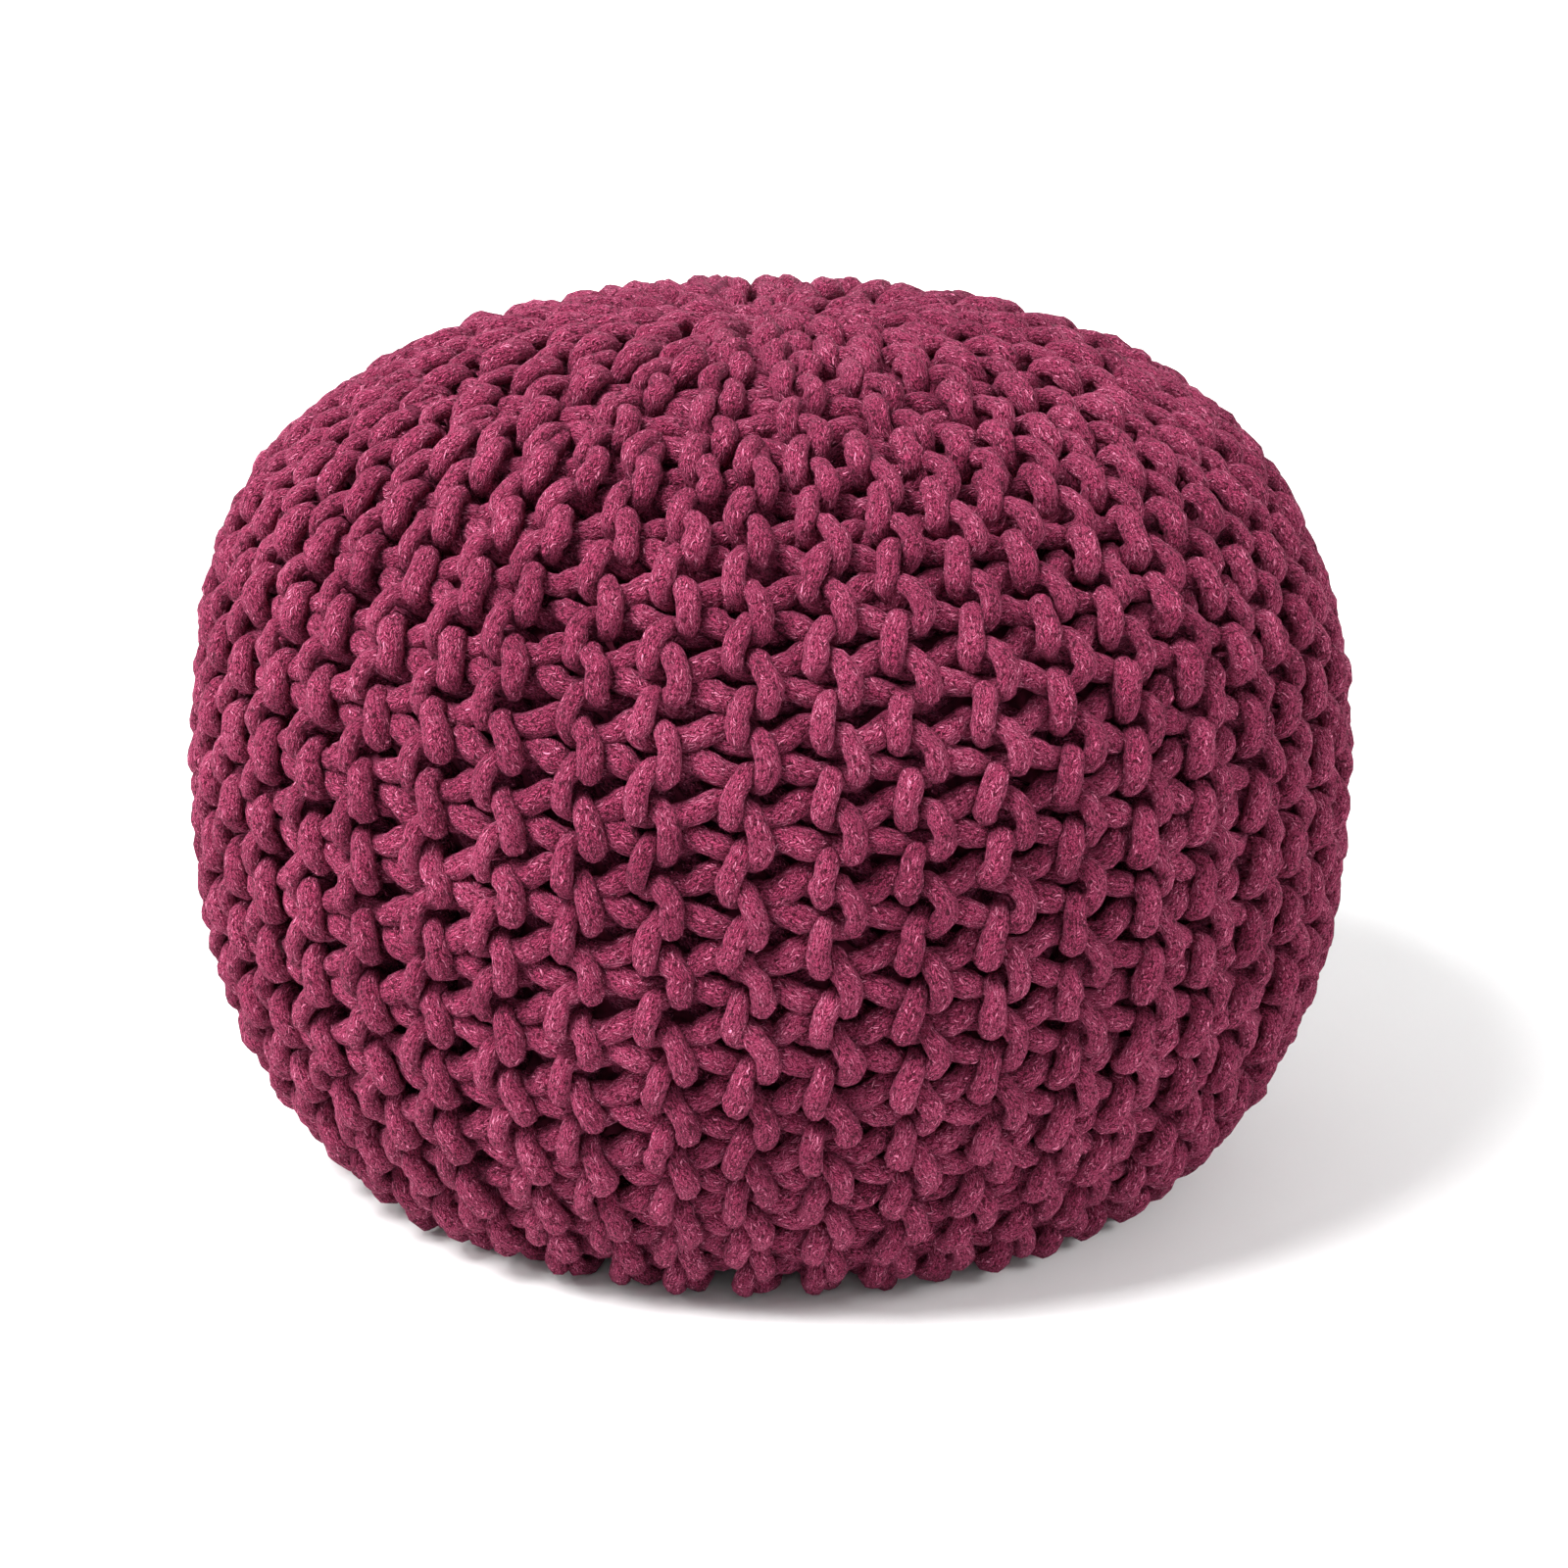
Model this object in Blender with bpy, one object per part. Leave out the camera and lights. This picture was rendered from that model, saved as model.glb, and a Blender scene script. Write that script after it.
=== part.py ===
"""Knitted pouf: one filled solid, ribbed from pole to pole, standing on its flattened base.

Metres, +Z up. The origin is the centre of the base, on the surface that the pouf stands on.
The cover is one strip of garter stitch, knitted sideways, so each ridge runs from the base
up to the crown. Every second ridge is a short row that stops before it reaches the poles.
"""
import math

import bmesh
import bpy
import numpy as np

# Outline, over the crests of the ribs
DIAMETER = 0.500              # across the widest girth
HEIGHT = 0.374                # floor to crown, before the gather draws it in
GIRTH_HEIGHT = 0.156          # height of the widest girth above the floor
LOWER_DEPTH = 0.218           # where the lower half would end if the floor did not flatten it
CROWN_SQUARENESS = 2.72       # superellipse powers: 2 is an ellipse, more is squarer
LOWER_SQUARENESS = 2.17

# Ribs
LONG_RIBS = 23                # ribs that reach the gathered poles
RIB_COUNT = 2 * LONG_RIBS     # with a short rib between each two long ones
SHORT_RIB_END = 0.60          # share of the widest radius where the short ribs stop
SHORT_RIB_FADE = 0.10         # share of the radius over which they sink away
RIB_DEPTH = 0.011             # crest to valley
CREST_ROUNDNESS = 1.8         # 1 is a plain wave, more has broader crests and tighter valleys
POLE_FADE_RADIUS = 0.050      # inside this radius the ribs run together in the gather

# Gathered crown
GATHER_DEPTH = 0.006          # how far the crown dips where the ribs are drawn together
GATHER_RADIUS = 0.045         # width of that dip

# Mesh density
COLUMNS_PER_RIB = 4           # crest, flank, valley, flank
SIDE_RINGS = 18               # from the base up to the end of the short ribs
CROWN_RINGS = 9               # from there to the pole
OUTLINE_SAMPLES = 2000

COLOUR = (0.255, 0.046, 0.088, 1.0)
ROUGHNESS = 0.92


def remove_objects():
    for item in list(bpy.data.objects):
        bpy.data.objects.remove(item, do_unlink=True)


def knit_material():
    material = bpy.data.materials.new("plum_yarn")
    material.use_nodes = True
    shader = material.node_tree.nodes["Principled BSDF"]
    shader.inputs["Base Color"].default_value = COLOUR
    shader.inputs["Roughness"].default_value = ROUGHNESS
    shader.inputs["Metallic"].default_value = 0.0
    return material


def superellipse(turn, depth, squareness):
    """Radius and height above the girth, for turns from the girth (0) to a pole (90 degrees)."""
    radius = DIAMETER / 2 * np.cos(turn) ** (2 / squareness)
    height = depth * np.sin(turn) ** (2 / squareness)
    return radius, height


def outline():
    """Radii and heights of the outline, from the edge of the flat base up to the crown."""
    base_turn = math.asin((GIRTH_HEIGHT / LOWER_DEPTH) ** (LOWER_SQUARENESS / 2))
    lower_turns = np.linspace(base_turn, 0.0, OUTLINE_SAMPLES)
    upper_turns = np.linspace(0.0, math.pi / 2, OUTLINE_SAMPLES)[1:]
    lower_radii, lower_heights = superellipse(lower_turns, LOWER_DEPTH, LOWER_SQUARENESS)
    upper_radii, upper_heights = superellipse(upper_turns, HEIGHT - GIRTH_HEIGHT, CROWN_SQUARENESS)
    radii = np.concatenate((lower_radii, upper_radii))
    heights = GIRTH_HEIGHT + np.concatenate((-lower_heights, upper_heights))
    heights[0] = 0.0
    dip = GATHER_DEPTH * np.exp(-((radii / GATHER_RADIUS) ** 2))
    return radii, heights - dip * (heights > GIRTH_HEIGHT)


def ring_stations():
    """Radius, height and outward direction of each ring, evenly spaced along the outline."""
    radii, heights = outline()
    steps = np.hypot(np.diff(radii), np.diff(heights))
    along = np.concatenate(([0.0], np.cumsum(steps)))
    crown_side = heights > GIRTH_HEIGHT
    short_end = along[crown_side & (radii <= SHORT_RIB_END * DIAMETER / 2)][0]
    side = np.linspace(0.0, short_end, SIDE_RINGS + 1)
    crown = np.linspace(short_end, along[-1], CROWN_RINGS + 1)[1:-1]
    places = np.concatenate((side, crown))
    ring_radii = np.interp(places, along, radii)
    ring_heights = np.interp(places, along, heights)
    slope_radii = np.interp(places, along, np.gradient(radii, along))
    slope_heights = np.interp(places, along, np.gradient(heights, along))
    length = np.hypot(slope_radii, slope_heights)
    return ring_radii, ring_heights, slope_heights / length, -slope_radii / length


def smooth_step(value, start, end):
    share = min(max((value - start) / (end - start), 0.0), 1.0)
    return share * share * (3 - 2 * share)


def rib_sink(angle, radius, on_crown):
    """How far the surface lies below the crests, at an angle round the pouf."""
    half = DIAMETER / 2
    all_ribs = (0.5 - 0.5 * math.cos(RIB_COUNT * angle)) ** CREST_ROUNDNESS
    long_ribs = (0.5 - 0.5 * math.cos(LONG_RIBS * angle)) ** CREST_ROUNDNESS
    short_end = SHORT_RIB_END * half
    faded = 0.0
    if on_crown:
        faded = 1.0 - smooth_step(radius, short_end, short_end + SHORT_RIB_FADE * half)
    gathered = smooth_step(radius, 0.0, POLE_FADE_RADIUS)
    return RIB_DEPTH * gathered * ((1 - faded) * all_ribs + faded * long_ribs)


def ring_points(station, columns, is_base):
    radius, height, out_radius, out_height = station
    points = []
    for column in range(columns):
        angle = 2 * math.pi * column / columns
        sink = rib_sink(angle, radius, height > GIRTH_HEIGHT)
        reach = radius - sink * (1.0 if is_base else out_radius)
        level = 0.0 if is_base else height - sink * out_height
        points.append((reach * math.cos(angle), reach * math.sin(angle), level))
    return points


def bridge(shape, lower, upper):
    """Skins two rings with the same number of corners, or with half as many in the upper one."""
    count = len(lower)
    halved = len(upper) < count
    for column in range(0, count, 2 if halved else 1):
        first = lower[column]
        second = lower[(column + 1) % count]
        if not halved:
            above = upper[(column + 1) % count]
            shape.faces.new((first, second, above))
            shape.faces.new((first, above, upper[column]))
            continue
        third = lower[(column + 2) % count]
        left = upper[column // 2]
        right = upper[(column // 2 + 1) % len(upper)]
        shape.faces.new((first, second, left))
        shape.faces.new((second, right, left))
        shape.faces.new((second, third, right))


def filled_cover():
    """The closed solid: flat base, ribbed side and crown, closed at the gathered pole."""
    shape = bmesh.new()
    stations = list(zip(*ring_stations()))
    rings = []
    for number, station in enumerate(stations):
        on_inner_crown = number > SIDE_RINGS
        ribs = LONG_RIBS if on_inner_crown else RIB_COUNT
        points = ring_points(station, ribs * COLUMNS_PER_RIB, number == 0)
        rings.append([shape.verts.new(point) for point in points])
    for lower, upper in zip(rings, rings[1:]):
        bridge(shape, lower, upper)
    _, heights = outline()
    pole = shape.verts.new((0.0, 0.0, heights[-1]))
    top = rings[-1]
    for column, corner in enumerate(top):
        shape.faces.new((corner, top[(column + 1) % len(top)], pole))
    shape.faces.new(tuple(reversed(rings[0])))
    mesh = bpy.data.meshes.new("knitted_pouf")
    shape.to_mesh(mesh)
    shape.free()
    return mesh


def build():
    remove_objects()
    pouf = bpy.data.objects.new("knitted_pouf", filled_cover())
    bpy.context.scene.collection.objects.link(pouf)
    pouf.data.materials.append(knit_material())


build()
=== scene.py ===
"""Looks of the knitted pouf: garter stitch in thick plum yarn over a filled body.

The cover is knitted sideways. Each ridge runs from the crown to the base and holds two rows of
loops, seen from outside: one shows its bars on the right of the ridge and reaches into the valley
on the left, and the other shows its bars on the left and reaches into the valley on the right.
Metres, +Z up, as in the frame.
"""
import math

import bmesh
import bpy
import numpy as np
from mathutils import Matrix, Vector
from mathutils.kdtree import KDTree


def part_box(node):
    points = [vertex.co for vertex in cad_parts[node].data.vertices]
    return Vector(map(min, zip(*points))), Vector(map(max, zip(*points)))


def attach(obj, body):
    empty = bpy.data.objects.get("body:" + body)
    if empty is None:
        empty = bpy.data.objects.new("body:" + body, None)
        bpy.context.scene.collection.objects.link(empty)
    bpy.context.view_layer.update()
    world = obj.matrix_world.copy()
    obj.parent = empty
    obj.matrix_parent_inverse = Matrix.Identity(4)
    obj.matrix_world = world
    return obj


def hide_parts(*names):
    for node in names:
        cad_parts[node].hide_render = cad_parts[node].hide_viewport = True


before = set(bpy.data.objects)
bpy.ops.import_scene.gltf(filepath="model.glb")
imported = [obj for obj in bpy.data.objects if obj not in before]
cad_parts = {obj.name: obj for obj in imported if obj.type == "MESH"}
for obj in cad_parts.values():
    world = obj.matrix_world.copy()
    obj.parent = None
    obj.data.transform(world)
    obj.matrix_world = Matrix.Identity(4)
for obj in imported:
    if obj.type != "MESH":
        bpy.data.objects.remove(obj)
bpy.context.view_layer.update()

BODY = "root"
NODE = "knitted_pouf"

# ---- Sizes from the frame -------------------------------------------------------------------
box_low, box_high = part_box(NODE)
DIAMETER = box_high[0] - box_low[0]
HALF = DIAMETER / 2
GIRTH_HEIGHT = 0.312 * DIAMETER
CROWN_HEIGHT = 0.740 * DIAMETER
LOWER_DEPTH = 0.436 * DIAMETER  # of the lower half, if no floor flattened it
CROWN_SQUARENESS = 2.68       # superellipse powers: 2 is an ellipse, more is squarer
LOWER_SQUARENESS = 2.24
FLOOR_ROUNDING = 0.006        # how softly the side turns into the flat base
GATHER_DEPTH = 0.002          # how far the crown dips where it is drawn together
GATHER_RADIUS = 0.040
LEFT_SHOULDER = 0.005         # how much fuller the left shoulder is
SHOULDER_HEIGHT = 0.300
SHOULDER_REACH = 0.050
OUTLINE_SAMPLES = 4001
SAME_HEIGHT = 1e-9            # closer than this to the floor's level is on it
SAME_POINT = 1e-7             # closer than this is one point of the outline

# ---- Knitting -------------------------------------------------------------------------------
YARN = 0.0094                 # yarn thickness
RIDGES = 46
STITCHES = 25                 # from the crown to the middle of the base
FIRST_STITCH = -0.10          # where the right bars lie, in stitches off the whole numbers
FRONT = -math.pi / 2
FIRST_RIDGE = FRONT - math.radians(1.95)
GIRTH_SPACING = 2 * math.pi * HALF / RIDGES
SEED = 7

# Where the ridges stop, in stitches from each pole, from the longest to the short ones
RIDGE_STARTS = (0.8, 1.7, 2.8, 5.2)
RIDGE_ORDER = (0, 3, 2, 3, 1, 3, 2, 3)
BACK_RIDGE = 23               # the order is counted from the ridge at the back
START_BLEND = 0.9             # stitches to each side of a ridge's end where its neighbours close up
POLE_DIVE = 0.004             # how far the ends of the ridges sink in at the pole
DIVE_REACH = 0.030            # the radius inside which they do

# One stitch of each row. along: stitches from the bar's middle, down the ridge.
# bar: half spacings of the two bars, to the right of the ridge's line. valley: share of the
# way to the next ridge. depth: yarn thicknesses below the crest. swell: share of YARN.
ALONG, BAR, VALLEY, DEPTH, SWELL = range(5)
RIGHT_LOOP = (
    # along   bar  valley  depth  swell
    (-0.290, 0.10, 0.00, 0.56, 0.96),
    (-0.23, 0.42, 0.00, 0.19, 1.01),
    (-0.08, 0.84, 0.00, 0.01, 1.06),
    (0.08, 1.02, 0.00, 0.01, 1.09),
    (0.23, 0.92, 0.00, 0.16, 1.08),
    (0.290, 0.70, 0.00, 0.56, 0.97),
    (0.25, 0.00, 0.00, 1.08, 0.86),
    (0.22, -0.85, 0.00, 1.02, 0.94),
    (0.18, 0.00, -0.34, 0.76, 1.14),
    (0.09, 0.00, -0.52, 0.80, 1.22),
    (0.04, 0.00, -0.68, 1.10, 1.14),
    (0.05, 0.00, -0.84, 1.45, 1.00),
    (0.14, 0.00, -0.92, 2.05, 0.90),
    (0.36, 0.00, -0.86, 2.20, 0.94),
    (0.58, 0.00, -0.66, 2.15, 0.96),
    (0.69, 0.00, -0.47, 1.90, 0.92),
    (0.76, 0.00, -0.36, 1.35, 0.86),
    (0.77, -0.90, 0.00, 1.22, 0.86),
    (0.755, -0.40, 0.00, 1.02, 0.88),
)
LEFT_LOOP = (
    # along   bar  valley  depth  swell
    (-0.280, -0.34, 0.00, 0.56, 0.94),
    (-0.225, -0.56, 0.00, 0.19, 1.00),
    (-0.07, -0.84, 0.00, 0.01, 1.04),
    (0.09, -1.01, 0.00, 0.01, 1.08),
    (0.225, -1.12, 0.00, 0.16, 1.06),
    (0.285, -1.02, 0.00, 0.56, 0.96),
    (0.29, -0.30, 0.00, 1.10, 0.86),
    (0.29, 0.62, 0.00, 1.02, 0.94),
    (0.27, 0.00, 0.33, 0.76, 1.10),
    (0.17, 0.00, 0.50, 0.76, 1.18),
    (0.07, 0.00, 0.67, 1.05, 1.12),
    (0.05, 0.00, 0.83, 1.42, 1.00),
    (0.12, 0.00, 0.92, 2.00, 0.90),
    (0.34, 0.00, 0.88, 2.20, 0.94),
    (0.56, 0.00, 0.72, 2.15, 0.96),
    (0.68, 0.00, 0.52, 1.95, 0.92),
    (0.76, 0.00, 0.34, 1.65, 0.86),
    (0.78, 0.90, 0.00, 1.42, 0.84),
    (0.755, 0.20, 0.00, 1.10, 0.86),
)
RIGHT_END = 5                 # points that are kept of a row's last loop, all on its bar
LEFT_END = 4
BAR_SPACING = 0.38            # share of the ridge spacing between the left and right bars
BAR_SPACING_MOST = 0.0130
SQUEEZE = 1.8                 # how much deeper the valleys are where the ridges crowd

# The soft yarn of the bars is pressed flat, its broad face turned outwards from the ridge
PRESSED = 0.20                # share of the thickness lost
SPREAD = 0.02                 # share of the width gained
ROUGH = 0.038                 # unevenness of the tube's wall, share of its radius
FACE_TILT = math.radians(38)
PRESS_FADE = (0.4, 1.0)       # yarn thicknesses below the crests where the pressing fades out

# Hand-knitted unevenness, as standard deviations
STITCH_SHIFT = 0.030          # of a whole loop, in stitches
STITCH_LEAN = 0.36            # half bar spacings over one stitch
STITCH_SIDE = 0.10            # half bar spacings
STITCH_DEPTH = 0.06           # yarn thicknesses
POINT_SHIFT = 0.014
POINT_SIDE = 0.07
POINT_DEPTH = 0.04
RIDGE_WANDER = 0.035          # ridge spacings, for each wave of a ridge's wander
WANDER_WAVES = 3
WANDER_PITCH = (0.12, 0.45)   # half waves for each stitch
LUMPS = 0.075                 # share of the yarn's thickness
LUMP_LENGTH = 0.0055

# Settling the loops against each other
TOUCH = 0.60                  # centres of two strands come no closer than this share of YARN
REACH = 1.25                  # strands within this share of YARN are tested
SAME_STRAND = 1.7             # and not if they are nearer than this along one strand
SETTLE_ROUNDS = 40
PAIR_ROUNDS = 10              # rounds from one search for touching strands to the next
PUSH = 0.25                   # share of an overlap that each strand gives way in a round
LOWEST_MIDDLE = 0.4           # share of YARN from the floor up to the middle of the lowest strand
HOLD = 0.03                   # pull back to the planned place in each round
STIFFNESS = 0.25              # pull back to the planned bend in each round

# The filled body behind the loops
BODY_DEPTH = 2.8              # yarn thicknesses from the crests in to it
POLE_BODY_DEPTH = 1.0         # and at the poles
POLE_FADE = (0.5, 2.5)        # stitches from a pole where one depth turns into the other
BODY_RINGS = 61
BODY_SIDES = 92
BODY_FLOOR_GAP = 0.004

# Density of the yarn's tubes
CURVE_STEPS = 6               # points on the smooth curve for each row of the tables
BEND_REACH = 3                # points to each side over which the bend is averaged
TINY = 1e-6                   # keeps a division from failing where a length is 0
RING_TURN = 0.37              # bend of the yarn from one ring of its tube to the next, radians
FINEST_SPACING = 0.0022       # limits of the spacing between rings
WIDEST_SPACING = 0.0046
DEEP_SPACING = 2.1            # how much wider it is where the yarn is hidden
DEEP_FROM, DEEP_TO = 1.3, 1.8  # yarn thicknesses below the crests where it gets hidden
UNDER_FROM, UNDER_TO = 0.012, 0.007  # height above the floor where it does
YARN_SIDES = 10
FLOOR_GAP = 0.0002
PIECES = 6                    # pieces that the ridges are shared out to


def smooth_step(value, start, end):
    share = np.clip((value - start) / (end - start), 0.0, 1.0)
    return share * share * (3 - 2 * share)


# ---- The form that the stitches lie on ------------------------------------------------------
def crest_line():
    """Middle of the yarn at the crests, from the crown to the middle of the base."""
    turns = np.linspace(math.pi / 2, -math.pi / 2, OUTLINE_SAMPLES)
    upper = turns >= 0
    power = np.where(upper, 2 / CROWN_SQUARENESS, 2 / LOWER_SQUARENESS)
    depth = np.where(upper, CROWN_HEIGHT - GIRTH_HEIGHT, LOWER_DEPTH)
    radius = HALF * np.abs(np.cos(turns)) ** power
    height = np.sign(turns) * depth * np.abs(np.sin(turns)) ** power + GIRTH_HEIGHT
    height -= GATHER_DEPTH * np.exp(-((radius / GATHER_RADIUS) ** 2)) * upper
    run = np.gradient(radius)
    fall = np.gradient(height)
    length = np.hypot(run, fall)
    radius = np.maximum(radius + fall / length * YARN / 2, 0.0)
    height = height - run / length * YARN / 2
    lowest = YARN / 2
    overlap = np.maximum(FLOOR_ROUNDING - np.abs(height - lowest), 0.0)
    height = np.maximum(height, lowest) + overlap ** 2 / (4 * FLOOR_ROUNDING)
    height = np.where(height < lowest + SAME_HEIGHT, lowest, height)
    apart = np.hypot(np.diff(radius), np.diff(height)) > SAME_POINT
    keep = np.concatenate(([True], apart))
    radius = radius[keep]
    height = height[keep]
    radius[[0, -1]] = 0.0
    along = np.concatenate(([0.0], np.cumsum(np.hypot(np.diff(radius), np.diff(height)))))
    return along, radius, height


LINE_ALONG, LINE_RADIUS, LINE_HEIGHT = crest_line()
LINE_RUN = np.gradient(LINE_RADIUS, LINE_ALONG)
LINE_FALL = np.gradient(LINE_HEIGHT, LINE_ALONG)
STITCH = LINE_ALONG[-1] / STITCHES


def on_form(stitches, angle, depth):
    """World points for places down the form, round it, and below its crests."""
    along = stitches * STITCH
    radius = np.interp(along, LINE_ALONG, LINE_RADIUS)
    height = np.interp(along, LINE_ALONG, LINE_HEIGHT)
    run = np.interp(along, LINE_ALONG, LINE_RUN)
    fall = np.interp(along, LINE_ALONG, LINE_FALL)
    length = np.hypot(run, fall)
    shoulder = np.exp(-(((height - SHOULDER_HEIGHT) / SHOULDER_REACH) ** 2))
    radius = radius + LEFT_SHOULDER * shoulder * np.maximum(-np.cos(angle), 0.0) ** 2
    radius = radius + depth * fall / length
    height = height - depth * run / length
    return np.stack((radius * np.cos(angle), radius * np.sin(angle), height), axis=-1)


def outward(stitches, angle):
    """Unit vectors out of the form, and round it, at places down the form."""
    along = stitches * STITCH
    run = np.interp(along, LINE_ALONG, LINE_RUN)
    fall = np.interp(along, LINE_ALONG, LINE_FALL)
    length = np.hypot(run, fall)
    out = np.stack((-fall / length * np.cos(angle), -fall / length * np.sin(angle),
                    run / length), axis=-1)
    around = np.stack((-np.sin(angle), np.cos(angle), np.zeros_like(angle)), axis=-1)
    return out, around


# ---- Ridges and their loops -----------------------------------------------------------------
def ridge_start(ridge):
    place = (ridge - BACK_RIDGE) % RIDGES % len(RIDGE_ORDER)
    return RIDGE_STARTS[RIDGE_ORDER[place]]


def presence(ridge, stitches):
    """1 where a ridge is there, 0 past its ends."""
    from_pole = np.minimum(stitches, STITCHES - stitches)
    start = ridge_start(ridge % RIDGES)
    return smooth_step(from_pole, start - START_BLEND, start + START_BLEND)


def gap_to_next(ridge, side, stitches):
    """Ridge spacings from a ridge to the next one that is still there."""
    gap = np.zeros_like(stitches)
    open_share = np.ones_like(stitches)
    for step in range(1, len(RIDGE_ORDER)):
        there = presence(ridge + step * side, stitches)
        gap += open_share * there * step
        open_share *= 1 - there
    return gap + open_share * len(RIDGE_ORDER)


def place_loops(ridge, side, wander, along, bar, valley, depth):
    """Turns table values, with along counted from the crown, into world points.

    Three more columns give the way the yarn's broad face looks, 0 where it isn't pressed."""
    radius = np.interp(along * STITCH, LINE_ALONG, LINE_RADIUS)
    radius = np.maximum(radius, YARN)
    step = 2 * math.pi / RIDGES
    gap = gap_to_next(ridge, side, along) * step * radius
    narrow = np.minimum(gap_to_next(ridge, 1, along), gap_to_next(ridge, -1, along))
    narrow = narrow * step * radius
    least = np.minimum(YARN, narrow / 2)
    spacing = np.minimum(np.maximum(BAR_SPACING * narrow, least), BAR_SPACING_MOST)
    angle = FIRST_RIDGE + ridge * step + (bar * spacing / 2 + valley * gap) / radius
    angle += wander(along) * step * (1 - np.abs(valley))
    dive = POLE_DIVE * (1 - smooth_step(radius, 0.0, DIVE_REACH))
    out, around = outward(along, angle)
    facing = out * math.cos(FACE_TILT) - side * around * math.sin(FACE_TILT)
    pressed = (valley == 0) * (1 - smooth_step(depth, *PRESS_FADE))
    crowded = np.clip(1 - gap / GIRTH_SPACING, 0.0, 1.0)
    depth = depth + SQUEEZE * crowded * (valley != 0)
    points = on_form(along, angle, depth * YARN + dive)
    return np.column_stack((points, facing * pressed[:, None]))


def ridge_wander(dice):
    """A slow sideways wander of one ridge, in ridge spacings."""
    waves = dice.uniform(*WANDER_PITCH, WANDER_WAVES)
    starts = dice.uniform(0.0, 2 * math.pi, WANDER_WAVES)
    sizes = dice.normal(0.0, RIDGE_WANDER, WANDER_WAVES)

    def wander(along):
        return sum(size * np.sin(wave * along * math.pi + start)
                   for wave, start, size in zip(waves, starts, sizes))
    return wander


def row_of_loops(loop, numbers, dice):
    """Table values of a whole row: each loop a little different from the next."""
    rows = []
    for number in numbers:
        values = np.array(loop)
        shift, lean, side, sink = dice.normal(0.0, 1.0, 4)
        on_bar = values[:, VALLEY] == 0
        values[:, BAR] += on_bar * (STITCH_LEAN * lean * values[:, ALONG] + STITCH_SIDE * side)
        values[:, BAR] += on_bar * dice.normal(0.0, POINT_SIDE, len(values))
        values[:, ALONG] += number + STITCH_SHIFT * shift
        values[:, ALONG] += dice.normal(0.0, POINT_SHIFT, len(values))
        values[:, DEPTH] += STITCH_DEPTH * sink + dice.normal(0.0, POINT_DEPTH, len(values))
        rows.append(values)
    return np.concatenate(rows)


def ridge_points(ridge, dice):
    """Control points of one ridge: down its right bars and back up its left bars, a ring.

    The columns are the point, its depth, its swell, and the way its broad face looks."""
    first = math.ceil(ridge_start(ridge))
    last = STITCHES - first
    wander = ridge_wander(dice)
    right = np.arange(first, last + 1) + FIRST_STITCH
    left = np.arange(first, last + 2) + FIRST_STITCH - 0.5
    down = row_of_loops(RIGHT_LOOP, right, dice)
    down = down[1:len(down) - len(RIGHT_LOOP) + RIGHT_END]
    up = row_of_loops(LEFT_LOOP, left, dice)
    up = up[:len(up) - len(LEFT_LOOP) + LEFT_END][::-1]
    down_points = place_loops(ridge, -1, wander, *down[:, :SWELL].T)
    up_points = place_loops(ridge, 1, wander, *up[:, :SWELL].T)
    rows = np.concatenate((down, up))
    placed = np.concatenate((down_points, up_points))
    return np.column_stack((placed[:, :3], rows[:, [DEPTH, SWELL]], placed[:, 3:]))


def smooth_ring(values):
    """Catmull-Rom curve through a ring of points, with its rings closer where they show.

    Returns the points, their places along the yarn, how much the yarn swells there, and the way
    its broad face looks where it is pressed flat."""
    before = np.roll(values, 1, axis=0)
    after = np.roll(values, -1, axis=0)
    later = np.roll(values, -2, axis=0)
    pieces = []
    for step in range(CURVE_STEPS):
        t = step / CURVE_STEPS
        pieces.append(0.5 * (2 * values + (after - before) * t
                             + (2 * before - 5 * values + 4 * after - later) * t ** 2
                             + (3 * values - 3 * after + later - before) * t ** 3))
    curve = np.stack(pieces, axis=1).reshape(-1, values.shape[1])
    closed = np.concatenate((curve, curve[:1]))
    lengths = np.linalg.norm(np.diff(closed[:, :3], axis=0), axis=1)
    along = np.concatenate(([0.0], np.cumsum(lengths)))
    heading = np.diff(closed[:, :3], axis=0) / lengths[:, None]
    bend = np.linalg.norm(heading - np.roll(heading, 1, axis=0), axis=1) / lengths
    window = range(-BEND_REACH, BEND_REACH + 1)
    bend = sum(np.roll(bend, step) for step in window) / len(window)
    spacing = np.clip(RING_TURN / np.maximum(bend, 1.0), FINEST_SPACING, WIDEST_SPACING)
    depth = curve[:, 3]
    height = curve[:, 2]
    hidden = smooth_step(depth, DEEP_FROM, DEEP_TO)
    hidden = np.maximum(hidden, smooth_step(-height, -UNDER_FROM, -UNDER_TO))
    spacing *= 1 + (DEEP_SPACING - 1) * hidden
    counted = np.concatenate(([0.0], np.cumsum(lengths / spacing)))
    count = int(round(counted[-1]))
    marks = np.arange(count) * counted[-1] / count
    even = np.stack([np.interp(marks, counted, column) for column in closed.T], axis=1)
    return even[:, :3], np.interp(marks, counted, along), even[:, 4], even[:, 5:]


def press_ways(ring, facing):
    """The part of each facing that lies across the yarn, as long as the yarn is pressed there."""
    heading = np.roll(ring, -1, axis=0) - np.roll(ring, 1, axis=0)
    heading /= np.linalg.norm(heading, axis=1)[:, None]
    return facing - heading * (facing * heading).sum(axis=1)[:, None]


def lumpy(places, swell, dice):
    """The swell of a ring with the small lumps of soft yarn."""
    count = int(places[-1] / LUMP_LENGTH)
    lumps = dice.normal(0.0, LUMPS, count)
    middles = (np.arange(count) + 0.5) * places[-1] / count
    return swell * (1 + np.interp(places, middles, lumps, period=places[-1]))


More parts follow.
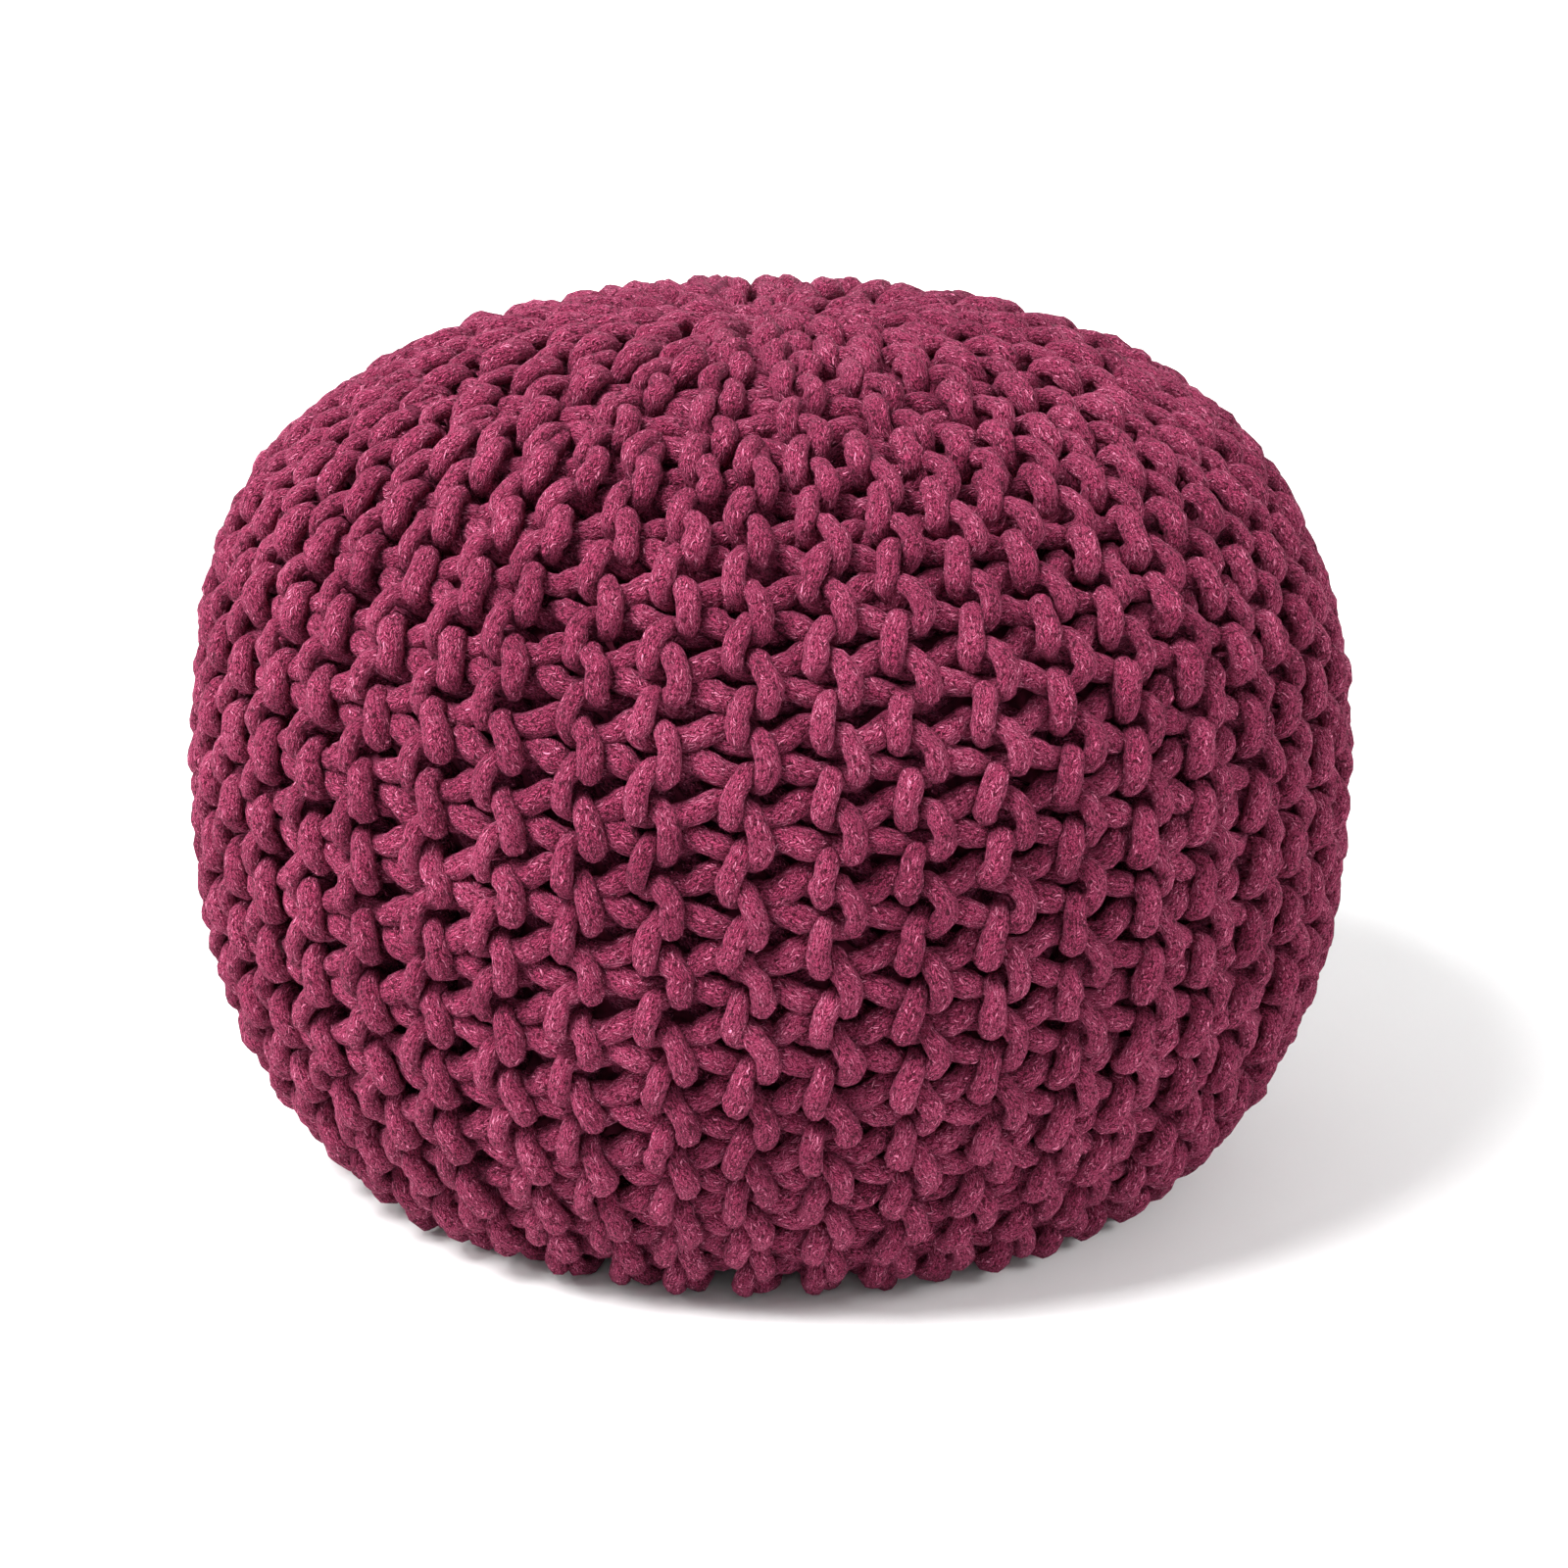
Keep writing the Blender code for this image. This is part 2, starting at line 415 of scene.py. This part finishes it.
# ---- Settling -------------------------------------------------------------------------------
def touching_pairs(points, ring_of, place, ring_lengths):
    """Pairs of points that may touch, apart from neighbours along the same strand."""
    tree = KDTree(len(points))
    for index, point in enumerate(points):
        tree.insert(point, index)
    tree.balance()
    firsts = []
    seconds = []
    for index, point in enumerate(points):
        near = [other for _, other, _ in tree.find_range(point, REACH * YARN) if other > index]
        firsts.extend([index] * len(near))
        seconds.extend(near)
    firsts = np.array(firsts)
    seconds = np.array(seconds)
    apart = np.abs(place[firsts] - place[seconds])
    apart = np.minimum(apart, ring_lengths[ring_of[firsts]] - apart)
    keep = (ring_of[firsts] != ring_of[seconds]) | (apart > SAME_STRAND * YARN)
    return firsts[keep], seconds[keep]


def settle(rings, places, swells):
    """Pushes strands apart where they would run through each other, keeping their bends."""
    sizes = np.array([len(ring) for ring in rings])
    starts = np.concatenate(([0], np.cumsum(sizes)[:-1]))
    ring_of = np.repeat(np.arange(len(rings)), sizes)
    number = np.concatenate([np.arange(size) for size in sizes])
    before = starts[ring_of] + (number - 1) % sizes[ring_of]
    after = starts[ring_of] + (number + 1) % sizes[ring_of]
    place = np.concatenate(places)
    ring_lengths = np.array([marks[-1] + WIDEST_SPACING for marks in places])
    swell = np.concatenate(swells)
    planned = np.concatenate(rings)
    planned_bend = (planned[before] + planned[after]) / 2 - planned
    points = planned.copy()
    for turn in range(SETTLE_ROUNDS):
        if turn % PAIR_ROUNDS == 0:
            firsts, seconds = touching_pairs(points, ring_of, place, ring_lengths)
            room = TOUCH * YARN * (swell[firsts] + swell[seconds]) / 2
        span = points[firsts] - points[seconds]
        distance = np.linalg.norm(span, axis=1)
        push = PUSH * np.maximum(room - distance, 0.0) / np.maximum(distance, TINY)
        move = span * push[:, None]
        shift = np.zeros_like(points)
        for axis in range(3):
            shift[:, axis] += np.bincount(firsts, move[:, axis], len(points))
            shift[:, axis] -= np.bincount(seconds, move[:, axis], len(points))
        points += shift
        bend = (points[before] + points[after]) / 2 - points
        points += STIFFNESS * (bend - planned_bend)
        points += HOLD * (planned - points)
        points[:, 2] = np.maximum(points[:, 2], LOWEST_MIDDLE * YARN)
    return np.split(points, starts[1:])


# ---- Yarn tubes by Geometry Nodes -----------------------------------------------------------
def yarn_tree(finish):
    """Turns lines of yarn into closed tubes with their place along and round the yarn."""
    tree = bpy.data.node_groups.new("yarn_tubes", "GeometryNodeTree")
    face = tree.interface
    face.new_socket("Geometry", in_out="INPUT", socket_type="NodeSocketGeometry")
    face.new_socket("Geometry", in_out="OUTPUT", socket_type="NodeSocketGeometry")
    thickness = face.new_socket("Yarn thickness", in_out="INPUT", socket_type="NodeSocketFloat")
    sides = face.new_socket("Sides", in_out="INPUT", socket_type="NodeSocketInt")
    floor = face.new_socket("Floor height", in_out="INPUT", socket_type="NodeSocketFloat")
    nodes = tree.nodes
    link = tree.links.new
    start = nodes.new("NodeGroupInput")
    end = nodes.new("NodeGroupOutput")

    to_curve = nodes.new("GeometryNodeMeshToCurve")
    link(start.outputs["Geometry"], to_curve.inputs["Mesh"])

    # The circle that runs along the lines, with each point's place on it noted
    half = nodes.new("ShaderNodeMath")
    half.operation = "MULTIPLY"
    half.inputs[1].default_value = 0.5
    link(start.outputs["Yarn thickness"], half.inputs[0])
    ring = nodes.new("GeometryNodeCurvePrimitiveCircle")
    link(start.outputs["Sides"], ring.inputs["Resolution"])
    link(half.outputs[0], ring.inputs["Radius"])
    place = nodes.new("GeometryNodeInputPosition")
    note = nodes.new("GeometryNodeCaptureAttribute")
    note.capture_items.new("VECTOR", "Round")
    link(ring.outputs["Curve"], note.inputs["Geometry"])
    link(place.outputs[0], note.inputs["Round"])

    # The tubes, thicker and thinner as the swell says
    swell = nodes.new("GeometryNodeInputNamedAttribute")
    swell.data_type = "FLOAT"
    swell.inputs["Name"].default_value = "swell"
    tube = nodes.new("GeometryNodeCurveToMesh")
    link(to_curve.outputs["Curve"], tube.inputs["Curve"])
    link(note.outputs["Geometry"], tube.inputs["Profile Curve"])
    link(swell.outputs["Attribute"], tube.inputs["Scale"])

    store = nodes.new("GeometryNodeStoreNamedAttribute")
    store.data_type = "FLOAT_VECTOR"
    store.domain = "POINT"
    store.inputs["Name"].default_value = "round_yarn"
    link(tube.outputs["Mesh"], store.inputs["Geometry"])
    link(note.outputs["Round"], store.inputs["Value"])

    # Nothing lies below the floor's height
    position = nodes.new("GeometryNodeInputPosition")
    parts = nodes.new("ShaderNodeSeparateXYZ")
    link(position.outputs[0], parts.inputs[0])
    above = nodes.new("ShaderNodeMath")
    above.operation = "MAXIMUM"
    link(parts.outputs["Z"], above.inputs[0])
    link(start.outputs["Floor height"], above.inputs[1])
    rest = nodes.new("ShaderNodeCombineXYZ")
    link(parts.outputs["X"], rest.inputs["X"])
    link(parts.outputs["Y"], rest.inputs["Y"])
    link(above.outputs[0], rest.inputs["Z"])
    flat = nodes.new("GeometryNodeSetPosition")
    link(store.outputs["Geometry"], flat.inputs["Geometry"])
    link(rest.outputs[0], flat.inputs["Position"])

    soft = nodes.new("GeometryNodeSetShadeSmooth")
    real = nodes.new("GeometryNodeRealizeInstances")
    paint = nodes.new("GeometryNodeSetMaterial")
    paint.inputs["Material"].default_value = finish
    link(flat.outputs["Geometry"], soft.inputs[0])
    link(soft.outputs[0], real.inputs[0])
    link(real.outputs[0], paint.inputs["Geometry"])
    link(paint.outputs["Geometry"], end.inputs["Geometry"])
    return tree, {"thickness": thickness.identifier, "sides": sides.identifier,
                  "floor": floor.identifier}


def line_mesh(name, rings, places, swells, presses):
    """The middle lines of the yarn, each closed to a ring, with what the tubes need noted."""
    points = np.concatenate(rings)
    edges = []
    offset = 0
    for ring in rings:
        index = np.arange(len(ring))
        edges.append(np.stack((offset + index, offset + (index + 1) % len(ring)), axis=1))
        offset += len(ring)
    mesh = bpy.data.meshes.new(name)
    mesh.from_pydata(points.tolist(), np.concatenate(edges).tolist(), [])
    for label, values in (("swell", swells), ("along_yarn", places)):
        noted = mesh.attributes.new(label, "FLOAT", "POINT")
        noted.data.foreach_set("value", np.concatenate(values))
    for label, values in (("middle", rings), ("press", presses)):
        noted = mesh.attributes.new(label, "FLOAT_VECTOR", "POINT")
        noted.data.foreach_set("vector", np.concatenate(values).ravel())
    return mesh


def vectors(items, field, count):
    """Reads a field of three numbers from each item."""
    values = np.empty(3 * count)
    items.foreach_get(field, values)
    return values.reshape(-1, 3)


def press_flat(mesh, dice):
    """Presses the tubes flat where the yarn of the bars lies over other yarn, and roughens them."""
    count = len(mesh.vertices)
    middle = vectors(mesh.attributes["middle"].data, "vector", count)
    press = vectors(mesh.attributes["press"].data, "vector", count)
    points = vectors(mesh.vertices, "co", count)
    amount = np.linalg.norm(press, axis=1)[:, None]
    way = press / np.maximum(amount, TINY)
    amount = np.minimum(amount, 1.0)
    arm = (points - middle) * (1 + dice.normal(0.0, ROUGH, (count, 1)))
    reach = (arm * way).sum(axis=1)[:, None]
    points = middle + arm * (1 + SPREAD * amount) - (PRESSED + SPREAD) * amount * reach * way
    points[:, 2] = np.maximum(points[:, 2], FLOOR_GAP)
    mesh.vertices.foreach_set("co", points.ravel())
    for name in ("middle", "press"):
        mesh.attributes.remove(mesh.attributes[name])
    mesh.update()


def tube_piece(name, lines, tree, sockets, dice):
    """A plain mesh of the tubes round some of the lines."""
    mesh = line_mesh(name + "_line", *lines)
    line = bpy.data.objects.new(name + "_line", mesh)
    bpy.context.scene.collection.objects.link(line)
    modifier = line.modifiers.new("yarn", "NODES")
    modifier.node_group = tree
    modifier[sockets["thickness"]] = YARN
    modifier[sockets["sides"]] = YARN_SIDES
    modifier[sockets["floor"]] = FLOOR_GAP
    graph = bpy.context.evaluated_depsgraph_get()
    mesh = bpy.data.meshes.new_from_object(line.evaluated_get(graph))
    mesh.name = name
    bpy.data.objects.remove(line)
    press_flat(mesh, dice)
    piece = bpy.data.objects.new(name, mesh)
    bpy.context.scene.collection.objects.link(piece)
    return piece


# ---- Finishes -------------------------------------------------------------------------------
# The strokes of the yarn's own small V stitches
STROKE = 0.00115              # thickness of one stroke of the tube yarn, along the yarn
STROKE_COLUMNS = 10           # V columns round the yarn
STROKE_SLANT = 1.7            # strokes that a V leg runs along the yarn
STROKE_STRAY = 3.0            # how far strokes stray along the yarn, in strokes
COLUMN_STRAY = 0.9            # how far they stray round it, in columns
LEG_SHIFT = 0.37              # strokes from one leg of a V to the next

# Noise patterns: scale, for each metre, and detail
STROKE_STRAYING = (260.0, 1.5)
COLUMN_STRAYING = (240.0, 1.5)
FIBRES = (1500.0, 2.0)
SMALL_LUMPS = (260.0, 1.0)
CLOUDS = (22.0, 2.0)
PITS = (800.0, 1.0)
BODY_GRAIN = (180.0, 3.0)
FLOOR_GRAIN = (3.0, 3.0)

# What makes up the tone of the yarn, which its colours follow
STROKE_TONE = 0.40            # of every stroke
CHANCE_TONE = 0.38            # more for some strokes than for others
GROOVE_SHADE_TONE = 0.72             # share of both that fades out towards a stroke's edges, painted shade in the grooves
GROOVE_SHADE_LEFT = 0.27             # share of both that is left between the strokes, where the painted shade is darkest
PIT_TONE = 0.42
PIT_NOISE = (0.54, 0.64)      # the noise where a pit starts and is full
FIBRE_TONE = 1.3
FIBRE_START = -0.64
LUMP_TONE = 0.3
CLOUD_TONE = 0.5
# Painted highlight: sparse bright glints of light on the fibres
GLINT_TONE = 0.45
GLINT_POWER = 14.0            # the higher, the fewer painted glints

# What makes up the height of its bump
STROKE_RELIEF = 0.45
CHANCE_RELIEF = 0.6
FIBRE_RELIEF = 0.9
LUMP_RELIEF = 2.4

# Colours by tone or grain
YARN_COLOURS = (
    # tone   red    green  blue
    (0.00, 0.048, 0.005, 0.013),
    (0.32, 0.217, 0.020, 0.060),
    (0.72, 0.430, 0.071, 0.152),
    (1.00, 0.720, 0.230, 0.360),
)
BODY_COLOURS = (
    (0.35, 0.150, 0.019, 0.044),
    (0.75, 0.320, 0.040, 0.090),
)
FLOOR_COLOURS = (
    (0.00, 0.87, 0.87, 0.87),
    (1.00, 0.90, 0.90, 0.90),
)


def new_material(name, settings):
    """A material whose shader has its even values set, and the makers of its nodes and links."""
    material = bpy.data.materials.new(name)
    material.use_nodes = True
    tree = material.node_tree
    shader = tree.nodes["Principled BSDF"]
    for socket, value in settings.items():
        shader.inputs[socket].default_value = value
    return material, tree.nodes, tree.links.new, shader


def calculator(nodes, link):
    """Makes Math nodes fed by numbers or sockets."""
    def calc(operation, *values):
        node = nodes.new("ShaderNodeMath")
        node.operation = operation
        for slot, value in enumerate(values):
            if isinstance(value, (int, float)):
                node.inputs[slot].default_value = value
            else:
                link(value, node.inputs[slot])
        return node.outputs[0]
    return calc


def noise(nodes, link, source, scale, detail):
    node = nodes.new("ShaderNodeTexNoise")
    node.inputs["Scale"].default_value = scale
    node.inputs["Detail"].default_value = detail
    link(source, node.inputs["Vector"])
    return node.outputs["Fac"]


def attribute(nodes, name):
    node = nodes.new("ShaderNodeAttribute")
    node.attribute_name = name
    return node


def colour(nodes, link, shader, source, stops):
    """Colours the shader by a value, from stops of value, red, green and blue."""
    ramp = nodes.new("ShaderNodeValToRGB")
    elements = ramp.color_ramp.elements
    for element, stop in zip(elements, (stops[0], stops[-1])):
        element.position = stop[0]
        element.color = (*stop[1:], 1.0)
    for stop in stops[1:-1]:
        elements.new(stop[0]).color = (*stop[1:], 1.0)
    link(source, ramp.inputs["Fac"])
    link(ramp.outputs["Color"], shader.inputs["Base Color"])


def relief(nodes, link, shader, height, strength, distance):
    bump = nodes.new("ShaderNodeBump")
    bump.inputs["Strength"].default_value = strength
    bump.inputs["Distance"].default_value = distance
    link(height, bump.inputs["Height"])
    link(bump.outputs["Normal"], shader.inputs["Normal"])


def yarn_strokes(nodes, link, calc, place):
    """How plump the yarn is within each V stroke, and a chance value for each stroke."""
    sides = nodes.new("ShaderNodeSeparateXYZ")
    link(attribute(nodes, "round_yarn").outputs["Vector"], sides.inputs[0])
    along_yarn = attribute(nodes, "along_yarn").outputs["Fac"]

    stray = noise(nodes, link, place, *STROKE_STRAYING)
    stray = calc("MULTIPLY_ADD", stray, STROKE_STRAY, -STROKE_STRAY / 2)
    astray = noise(nodes, link, place, *COLUMN_STRAYING)
    astray = calc("MULTIPLY_ADD", astray, COLUMN_STRAY, -COLUMN_STRAY / 2)
    turn = calc("DIVIDE", calc("ARCTAN2", sides.outputs["Y"], sides.outputs["X"]), 2 * math.pi)
    columns = calc("ADD", calc("MULTIPLY", turn, STROKE_COLUMNS), astray)
    slant = calc("MULTIPLY", calc("PINGPONG", columns, 0.5), 2 * STROKE_SLANT)
    rows = calc("ADD", calc("DIVIDE", along_yarn, STROKE), slant)
    rows = calc("ADD", rows, stray)
    legs = calc("MULTIPLY", columns, 2.0)
    leg = calc("FLOOR", legs)
    rows = calc("ADD", rows, calc("MULTIPLY", leg, LEG_SHIFT))

    across_row = calc("MULTIPLY_ADD", calc("FRACT", rows), 2.0, -1.0)
    across_leg = calc("MULTIPLY_ADD", calc("FRACT", legs), 2.0, -1.0)
    plump_row = calc("SUBTRACT", 1.0, calc("MULTIPLY", across_row, across_row))
    plump_leg = calc("SUBTRACT", 1.0, calc("POWER", calc("ABSOLUTE", across_leg), 4.0))

    cell = nodes.new("ShaderNodeCombineXYZ")
    link(calc("FLOOR", rows), cell.inputs["X"])
    link(leg, cell.inputs["Y"])
    chance = nodes.new("ShaderNodeTexWhiteNoise")
    chance.noise_dimensions = "2D"
    link(cell.outputs[0], chance.inputs["Vector"])
    return calc("MULTIPLY", plump_row, plump_leg), chance.outputs["Value"]


def yarn_material():
    """Cotton tube yarn: small V stitches along the yarn, loose fibres, painted shade in the grooves
    between the strokes and painted glints on the fibres.
    """
    material, nodes, link, shader = new_material("plum_yarn", {
        "Roughness": 0.85,
        "Specular IOR Level": 0.12,
        "Specular Tint": (1.00, 0.50, 0.62, 1.0),
        "Sheen Weight": 0.10,
        "Sheen Roughness": 0.35,
        "Sheen Tint": (1.00, 0.30, 0.52, 1.0),
    })
    calc = calculator(nodes, link)
    place = nodes.new("ShaderNodeTexCoord").outputs["Object"]
    plump, chance = yarn_strokes(nodes, link, calc, place)
    fibres = noise(nodes, link, place, *FIBRES)
    lumps = noise(nodes, link, place, *SMALL_LUMPS)
    clouds = noise(nodes, link, place, *CLOUDS)
    pits = nodes.new("ShaderNodeMapRange")
    pits.interpolation_type = "SMOOTHSTEP"
    pits.inputs["From Min"].default_value = PIT_NOISE[0]
    pits.inputs["From Max"].default_value = PIT_NOISE[1]
    link(noise(nodes, link, place, *PITS), pits.inputs["Value"])

    tone = calc("MULTIPLY_ADD", chance, CHANCE_TONE, STROKE_TONE)
    # Painted shade: the tone fades towards each stroke's edges and is darkest in the grooves
    # between the strokes
    tone = calc("MULTIPLY", tone, calc("MULTIPLY_ADD", plump, GROOVE_SHADE_TONE, GROOVE_SHADE_LEFT))
    tone = calc("SUBTRACT", tone, calc("MULTIPLY", pits.outputs["Result"], PIT_TONE))
    tone = calc("ADD", tone, calc("MULTIPLY_ADD", fibres, FIBRE_TONE, FIBRE_START))
    tone = calc("ADD", tone, calc("MULTIPLY_ADD", lumps, LUMP_TONE, -LUMP_TONE / 2))
    tone = calc("ADD", tone, calc("MULTIPLY_ADD", clouds, CLOUD_TONE, -CLOUD_TONE / 2))
    # Painted highlight: bright glints on the fibres of a few strokes
    painted_glint = calc("MULTIPLY", calc("POWER", chance, GLINT_POWER), plump)
    tone = calc("ADD", tone, calc("MULTIPLY", painted_glint, GLINT_TONE))
    colour(nodes, link, shader, tone, YARN_COLOURS)

    height = calc("MULTIPLY", plump, calc("MULTIPLY_ADD", chance, CHANCE_RELIEF, STROKE_RELIEF))
    height = calc("ADD", height, calc("MULTIPLY", fibres, FIBRE_RELIEF))
    height = calc("ADD", height, calc("MULTIPLY", lumps, LUMP_RELIEF))
    relief(nodes, link, shader, height, strength=1.0, distance=0.0011)
    return material


def body_material():
    """The inside of the cover behind the loops: the same yarn in deep shade."""
    material, nodes, link, shader = new_material("plum_body", {
        "Roughness": 0.95,
        "Specular IOR Level": 0.1,
    })
    place = nodes.new("ShaderNodeTexCoord").outputs["Object"]
    grain = noise(nodes, link, place, *BODY_GRAIN)
    colour(nodes, link, shader, grain, BODY_COLOURS)
    relief(nodes, link, shader, grain, strength=0.6, distance=0.001)
    return material


def floor_material():
    material, nodes, link, shader = new_material("pale_floor", {
        "Roughness": 0.8,
        "Specular IOR Level": 0.2,
    })
    place = nodes.new("ShaderNodeTexCoord").outputs["Object"]
    grain = noise(nodes, link, place, *FLOOR_GRAIN)
    colour(nodes, link, shader, grain, FLOOR_COLOURS)
    return material


# ---- Camera, floor and light ----------------------------------------------------------------
# The photograph's framing
PICTURE_SIDE = 1600           # pixels
SHIFT_RIGHT = 13.6            # how far the view is shifted, pixels
SHIFT_UP = 3.3
VIEW_TILT = math.radians(18)
VIEW_DISTANCE = 6.5 * HALF
LENS = 85.7                   # focal length, millimetres
SENSOR = 36.0                 # width, millimetres

# The floor and the backdrop that it turns up into
FLOOR_RADII = (0.5, 1.4, 2.6)
CORNER_RADIUS = 0.9           # of the curve from the floor up into the backdrop
CORNER_STEPS = 10
WALL_TOP = 2.6
FLOOR_COLUMNS = 96

LAMPS = (
    # name, place, what it is turned to, width, watts
    ("overhead", (-1.0, -0.8, 2.0), (0.0, 0.0, 0.2), 1.0, 105),
    ("left", (-1.9, -0.6, 1.2), (0.0, 0.0, 0.2), 0.6, 19),
    ("right", (1.9, -0.6, 1.3), (0.0, 0.0, 0.2), 0.8, 24),
    ("backdrop_wash", (-1.3, 1.3, 1.1), (-0.8, 4.0, 1.4), 0.8, 60),
    ("backdrop_wash", (1.3, 1.3, 1.1), (0.8, 4.0, 1.4), 0.8, 60),
)
FILL_LIGHT = 0.29             # from all round


def stage():
    """A pale floor whose rim curves up into a plain backdrop all round."""
    profile = [(radius, 0.0) for radius in FLOOR_RADII]
    for step in range(1, CORNER_STEPS + 1):
        turn = math.pi / 2 * step / CORNER_STEPS
        profile.append((FLOOR_RADII[-1] + CORNER_RADIUS * math.sin(turn),
                        CORNER_RADIUS * (1 - math.cos(turn))))
    profile.append((FLOOR_RADII[-1] + CORNER_RADIUS, WALL_TOP))
    shape = bmesh.new()
    rings = []
    for radius, height in profile:
        ring = []
        for column in range(FLOOR_COLUMNS):
            angle = 2 * math.pi * column / FLOOR_COLUMNS
            point = (radius * math.cos(angle), radius * math.sin(angle), height)
            ring.append(shape.verts.new(point))
        rings.append(ring)
    shape.faces.new(rings[0])
    for inner, outer in zip(rings, rings[1:]):
        for column in range(FLOOR_COLUMNS):
            after = (column + 1) % FLOOR_COLUMNS
            shape.faces.new((inner[column], outer[column], outer[after], inner[after]))
    mesh = bpy.data.meshes.new("floor")
    shape.to_mesh(mesh)
    shape.free()
    mesh.shade_smooth()
    floor = bpy.data.objects.new("floor", mesh)
    bpy.context.scene.collection.objects.link(floor)
    floor.data.materials.append(floor_material())


def turn_to(item, target):
    item.rotation_euler = (target - item.location).to_track_quat("-Z", "Y").to_euler()


def camera():
    lens = bpy.data.cameras.new("camera")
    lens.lens = LENS
    lens.sensor_width = SENSOR
    lens.shift_x = SHIFT_RIGHT / PICTURE_SIDE
    lens.shift_y = SHIFT_UP / PICTURE_SIDE
    view = bpy.data.objects.new("camera", lens)
    bpy.context.scene.collection.objects.link(view)
    target = Vector((0, 0, GIRTH_HEIGHT))
    back = Vector((0, -VIEW_DISTANCE * math.cos(VIEW_TILT), VIEW_DISTANCE * math.sin(VIEW_TILT)))
    view.location = target + back
    turn_to(view, target)
    bpy.context.scene.camera = view


def lights():
    for name, place, target, width, power in LAMPS:
        lamp = bpy.data.lights.new(name, "AREA")
        lamp.shape = "DISK"
        lamp.size = width
        lamp.energy = power
        item = bpy.data.objects.new(name, lamp)
        bpy.context.scene.collection.objects.link(item)
        item.location = place
        turn_to(item, Vector(target))
        item.visible_camera = False
    world = bpy.data.worlds.new("studio")
    world.use_nodes = True
    background = world.node_tree.nodes["Background"]
    background.inputs["Color"].default_value = (1, 1, 1, 1)
    background.inputs["Strength"].default_value = FILL_LIGHT
    bpy.context.scene.world = world
    bpy.context.scene.view_settings.view_transform = "Standard"


# ---- The pouf -------------------------------------------------------------------------------
def build_body(finish):
    """The filled form behind the loops."""
    mesh = bpy.data.meshes.new("filled_body")
    shape = bmesh.new()
    rings = []
    angles = np.linspace(0, 2 * math.pi, BODY_SIDES, endpoint=False)
    for stitches in np.linspace(0.0, STITCHES, BODY_RINGS)[1:-1]:
        from_pole = min(stitches, STITCHES - stitches)
        blend = smooth_step(from_pole, *POLE_FADE)
        depth = POLE_BODY_DEPTH + (BODY_DEPTH - POLE_BODY_DEPTH) * blend
        points = on_form(np.full(BODY_SIDES, stitches), angles, np.full(BODY_SIDES, depth * YARN))
        points[:, 2] = np.maximum(points[:, 2], BODY_FLOOR_GAP)
        rings.append([shape.verts.new(point) for point in points])
    for upper, lower in zip(rings, rings[1:]):
        for index in range(BODY_SIDES):
            after = (index + 1) % BODY_SIDES
            shape.faces.new((upper[index], lower[index], lower[after], upper[after]))
    shape.faces.new(rings[0])
    shape.faces.new(rings[-1][::-1])
    shape.to_mesh(mesh)
    shape.free()
    mesh.shade_smooth()
    body = bpy.data.objects.new("filled_body", mesh)
    bpy.context.scene.collection.objects.link(body)
    body.data.materials.append(finish)
    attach(body, BODY)
    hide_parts(NODE)


def build_cover(finish):
    """The knitting: settled rings of yarn, made into tubes."""
    dice = np.random.default_rng(SEED)
    knitted = [smooth_ring(ridge_points(ridge, dice)) for ridge in range(RIDGES)]
    rings, places, swells, facings = zip(*knitted)
    rings = settle(rings, places, swells)
    swells = [lumpy(marks, swell, dice) for marks, swell in zip(places, swells)]
    presses = [press_ways(ring, facing) for ring, facing in zip(rings, facings)]
    tree, sockets = yarn_tree(finish)
    share = math.ceil(RIDGES / PIECES)
    for number in range(PIECES):
        chosen = slice(number * share, (number + 1) * share)
        lines = [values[chosen] for values in (rings, places, swells, presses)]
        piece = tube_piece(f"stitches_{number + 1}", lines, tree, sockets, dice)
        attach(piece, BODY)


build_body(body_material())
build_cover(yarn_material())
stage()
camera()
lights()
